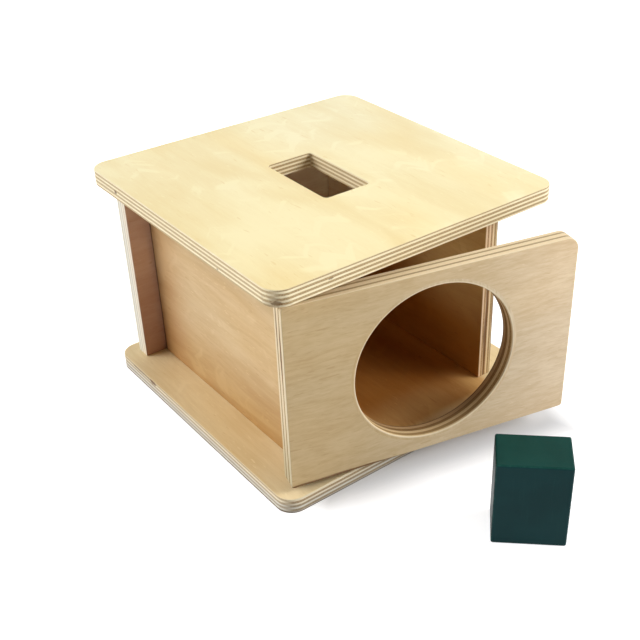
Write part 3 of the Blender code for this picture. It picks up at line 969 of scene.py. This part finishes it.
def make_block():
    low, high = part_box("block")
    size = Vector((BLOCK_WIDTH, BLOCK_DEPTH, high.z - low.z))
    turn = math.radians(BLOCK_TURN)
    bm = bmesh.new()
    bmesh.ops.create_cube(bm, size=1.0)
    bmesh.ops.scale(bm, vec=size, verts=bm.verts)
    bmesh.ops.bevel(bm, geom=bm.edges, offset=BLOCK_EDGE_RADIUS, segments=ARRIS_STEPS,
                    profile=ROUND_PROFILE, affect='EDGES')
    bmesh.ops.rotate(bm, matrix=Matrix.Rotation(turn, 3, 'Z'), verts=bm.verts)
    mesh = take_mesh(bm, "block_painted")
    mesh.shade_smooth()
    matrix = Matrix.Translation((low + high) / 2)
    enamel = painted_wood("green_enamel", size, turn)
    place_piece("block_painted", mesh, matrix, "block", "block", enamel)


def finish_hidden_pieces():
    """The dowels and door pins keep their solids, with a finish of their own."""
    beech = turned_wood("dowel_beech_raw")
    steel = drawn_steel("pin_steel_drawn")
    for node, solid in frame["nodes"].items():
        if "dowel" in node:
            solid.data.materials[0] = beech
        if "pin" in node:
            solid.data.materials[0] = steel


def make_floor():
    """White floor that throws light on the object; where it is seen it is lifted, but less by the door."""
    bm = bmesh.new()
    bmesh.ops.create_grid(bm, x_segments=1, y_segments=1, size=FLOOR_HALF_SIZE)
    mesh = take_mesh(bm, "floor")
    floor = add_object("floor", mesh)
    n = Material("floor_white")
    offset = n.vector_math('SUBTRACT', n.add("TexCoord").outputs["Object"], door_pivot())
    along, behind, _ = n.split(n.turn(offset, math.radians(DOOR_OPEN_ANGLE)))
    middle = DOOR_LENGTH / 2
    aside = n.math('SUBTRACT', n.distance(along, middle), middle - SIDE_INSET)
    aside = n.math('MULTIPLY', aside, SHADOW_FADE / SIDE_FADE)
    past_box = n.math('SUBTRACT', behind, DOOR_LENGTH)
    in_front = n.math('MULTIPLY', behind, -1.0)
    clear = n.math('MAXIMUM', n.math('MAXIMUM', aside, past_box), in_front)
    lift = n.math('MULTIPLY', n.seen(), n.ease(clear, 0.0, SHADOW_FADE, SHADOW_LIFT, FLOOR_LIFT))
    n.feed(n.shader, {"Base Color": FLOOR_COLOUR, "Emission Color": WHITE, "Emission Strength": lift,
                      "Roughness": FLOOR_ROUGHNESS, "Specular IOR Level": 0.0})
    mesh.materials.append(n.material)


def make_world():
    """White where it is seen, and a faint fill of light elsewhere."""
    world = bpy.data.worlds.new("studio")
    world.use_nodes = True
    bpy.context.scene.world = world
    n = Nodes(world.node_tree)
    strength = n.add("MapRange", {"Value": n.seen(), "To Min": WORLD_FILL, "To Max": 1.0}).outputs[0]
    n.feed(n.tree.nodes["Background"], {"Color": WHITE, "Strength": strength})


def direction(azimuth, elevation):
    """Direction towards that azimuth, counted from the front towards the right, and that elevation."""
    a = math.radians(azimuth)
    e = math.radians(elevation)
    return Vector((math.sin(a) * math.cos(e), -math.cos(a) * math.cos(e), math.sin(e)))


def add_lamp(name, kind, strength, colour, towards):
    """Lamp that shines from the given direction and isn't mirrored in the lacquer."""
    light = bpy.data.lights.new(name, kind)
    light.energy = strength
    light.color = colour
    lamp = add_object(name, light)
    lamp.rotation_euler = towards.to_track_quat('Z', 'Y').to_euler()
    lamp.visible_glossy = False
    return lamp


def make_lights():
    for name, (azimuth, elevation, strength, softness, colour) in SUNS.items():
        sun = add_lamp(name, 'SUN', strength, colour, direction(azimuth, elevation))
        sun.data.angle = math.radians(softness)
    towards = Vector(FILL_PLACE) - Vector(FILL_TARGET)
    fill = add_lamp("front_fill", 'AREA', FILL_STRENGTH, FILL_COLOUR, towards)
    fill.data.size = FILL_SIZE
    fill.location = FILL_PLACE


def make_camera():
    camera = add_object("camera", bpy.data.cameras.new("camera"))
    azimuth = math.radians(CAMERA_AZIMUTH)
    back = direction(CAMERA_AZIMUTH, CAMERA_ELEVATION)
    right = Vector((math.cos(azimuth), math.sin(azimuth), 0.0))
    up = back.cross(right)
    upright = Matrix((right, up, back)).transposed().to_4x4()
    roll = Matrix.Rotation(math.radians(CAMERA_ROLL), 4, 'Z')
    camera.matrix_world = Matrix.Translation(CAMERA_PLACE) @ upright @ roll
    camera.data.sensor_width = SENSOR_WIDTH
    camera.data.lens = FOCAL_PIXELS * SENSOR_WIDTH / PICTURE_SIZE
    camera.data.shift_x = (PICTURE_SIZE / 2 - PICTURE_CENTRE[0]) / PICTURE_SIZE
    camera.data.shift_y = (PICTURE_CENTRE[1] - PICTURE_SIZE / 2) / PICTURE_SIZE
    camera.data.clip_start = CAMERA_CLIP_START
    bpy.context.scene.camera = camera


make_panels()
make_walls()
make_door()
make_block()
finish_hidden_pieces()
make_floor()
make_world()
make_lights()
make_camera()
bpy.context.scene.view_settings.view_transform = 'Standard'
